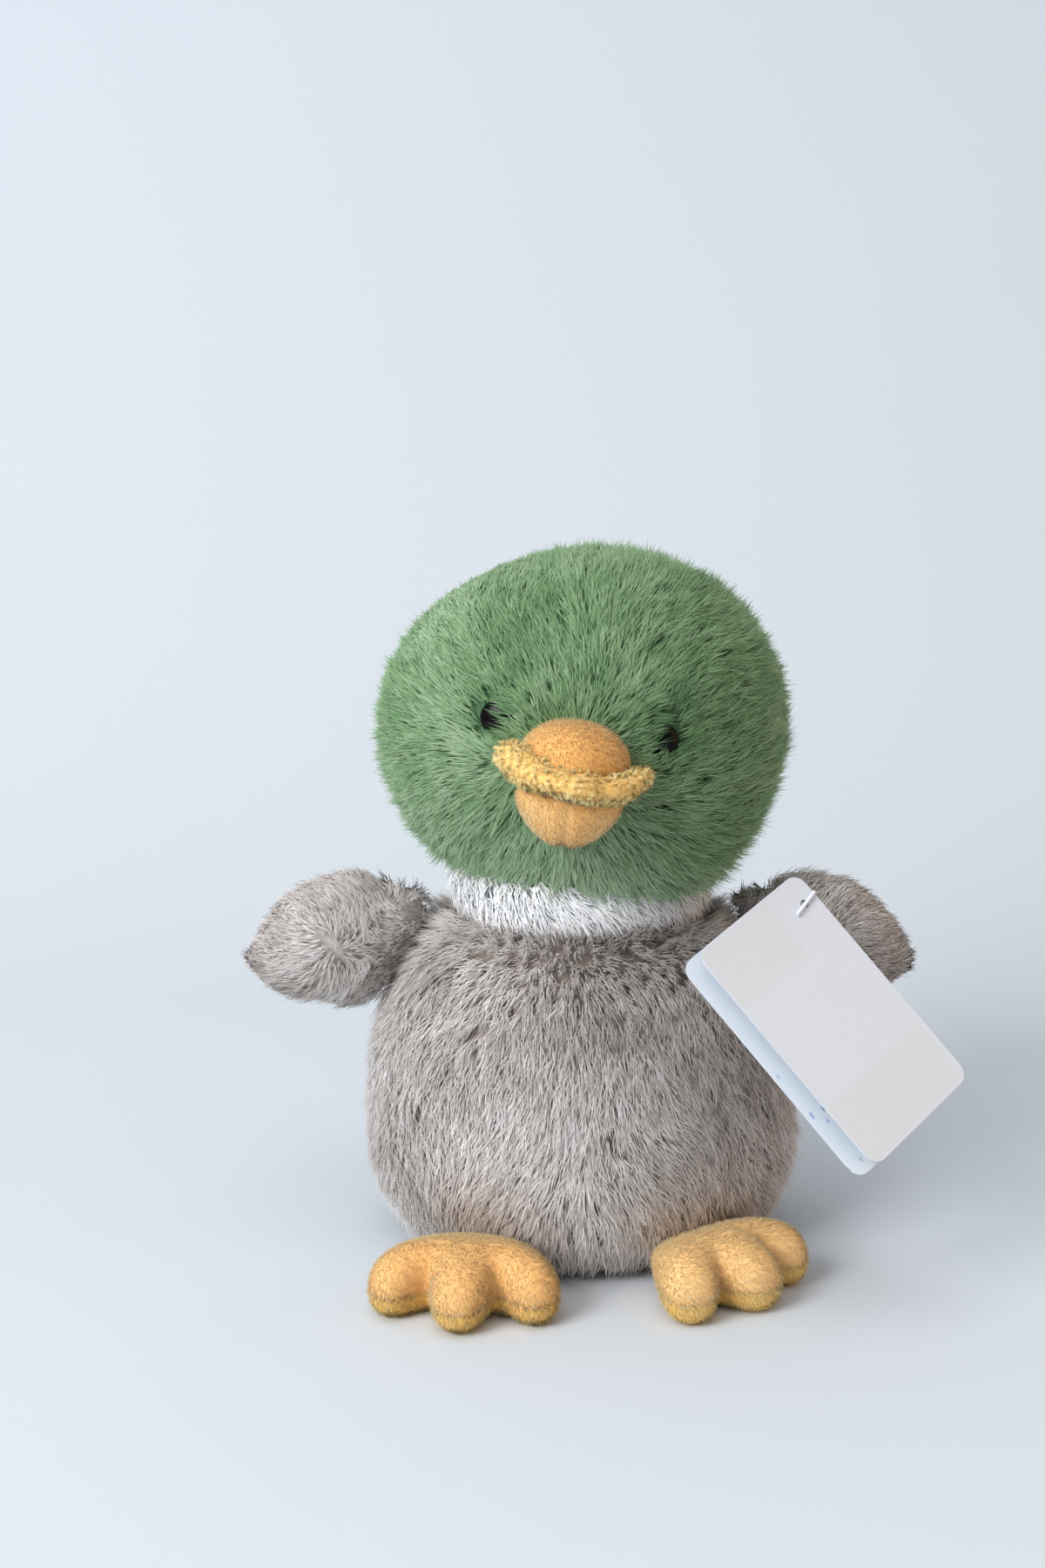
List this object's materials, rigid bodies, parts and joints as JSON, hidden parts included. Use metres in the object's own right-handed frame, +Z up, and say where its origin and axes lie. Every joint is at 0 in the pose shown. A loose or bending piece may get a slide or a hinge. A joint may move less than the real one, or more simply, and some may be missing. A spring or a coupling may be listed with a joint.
{
  "type": "plush duck",
  "caption": "Stuffed plush duck that sits upright, with a shaggy pile, a padded two-tone beak, swinging wings, soft feet and a card tag on one wing.",
  "frame": {"origin": "middle of the flat that the body rests on", "axes": "+Z up, the duck faces -Y, its own left side is +X"},
  "size_m": [0.2461, 0.1887, 0.249],
  "materials": {
    "green_fur": "long shaggy pile",
    "taupe_fur": "long shaggy pile",
    "white_fur": "short shaggy pile",
    "orange_plush": "short dense pile",
    "yellow_plush": "short dense pile",
    "fibre_filling": "loose polyester fibre",
    "pouch_cloth": "plain weave",
    "pellet_plastic": "round pellets",
    "eye_plastic": "polished black",
    "washer_plastic": "moulded",
    "tag_card": "smooth white card",
    "fastener_plastic": "clear white, moulded"
  },
  "bodies": {
    "body": {"body_cover": "taupe_fur", "body_filling": "fibre_filling", "pellet_pouch": "pouch_cloth", "pellet_fill": "pellet_plastic", "tail_cover": "taupe_fur", "tail_filling": "fibre_filling"},
    "neck": {"neck_band": "white_fur"},
    "head": {"head_cover": "green_fur", "head_filling": "fibre_filling", "eye_left": "eye_plastic", "eye_right": "eye_plastic", "eye_washer_left": "washer_plastic", "eye_washer_right": "washer_plastic", "beak_brim": "yellow_plush", "beak_upper": "orange_plush", "beak_upper_filling": "fibre_filling", "beak_lower": "orange_plush", "beak_lower_filling": "fibre_filling"},
    "wing_left": {"wing_left_cover": "taupe_fur", "wing_left_filling": "fibre_filling", "tag_fastener": "fastener_plastic"},
    "wing_right": {"wing_right_cover": "taupe_fur", "wing_right_filling": "fibre_filling"},
    "foot_left": {"foot_left_upper": "orange_plush", "foot_left_sole": "yellow_plush", "foot_left_filling": "fibre_filling"},
    "foot_right": {"foot_right_upper": "orange_plush", "foot_right_sole": "yellow_plush", "foot_right_filling": "fibre_filling"},
    "tag": {"tag_front_leaf": "tag_card", "tag_back_leaf": "tag_card"}
  },
  "joints": [
    {"name": "head_turn", "type": "hinge", "parent": "body", "child": "neck", "pos_m": [0, 0, 0.1845], "axis": [0, 0, 1], "range_deg": [-20, 20], "stiffness_Nm_per_rad": 0.4},
    {"name": "head_nod", "type": "hinge", "parent": "neck", "child": "head", "pos_m": [0, 0, 0.1845], "axis": [1, 0, 0], "range_deg": [-7, 7], "stiffness_Nm_per_rad": 1.2},
    {"name": "wing_left_swing", "type": "hinge", "parent": "body", "child": "wing_left", "pos_m": [0.06, -0.006, 0.105], "axis": [-0.4695, 0, 0.8829], "range_deg": [-25, 25], "stiffness_Nm_per_rad": 0.05},
    {"name": "wing_right_swing", "type": "hinge", "parent": "body", "child": "wing_right", "pos_m": [-0.06, -0.006, 0.105], "axis": [0.4695, 0, 0.8829], "range_deg": [-25, 25], "stiffness_Nm_per_rad": 0.05},
    {"name": "foot_left_flex", "type": "hinge", "parent": "body", "child": "foot_left", "pos_m": [0.031, -0.0505, 0.009], "axis": [0.7314, 0.682, 0], "range_deg": [-12, 12], "stiffness_Nm_per_rad": 0.05},
    {"name": "foot_right_flex", "type": "hinge", "parent": "body", "child": "foot_right", "pos_m": [-0.035, -0.05, 0.009], "axis": [0.9903, -0.1392, 0], "range_deg": [-12, 12], "stiffness_Nm_per_rad": 0.05},
    {"name": "tag_swing", "type": "hinge", "parent": "wing_left", "child": "tag", "pos_m": [0.0735, -0.048, 0.13], "axis": [0.379, -0.7182, 0.5835], "range_deg": [-12, 30]}
  ]
}
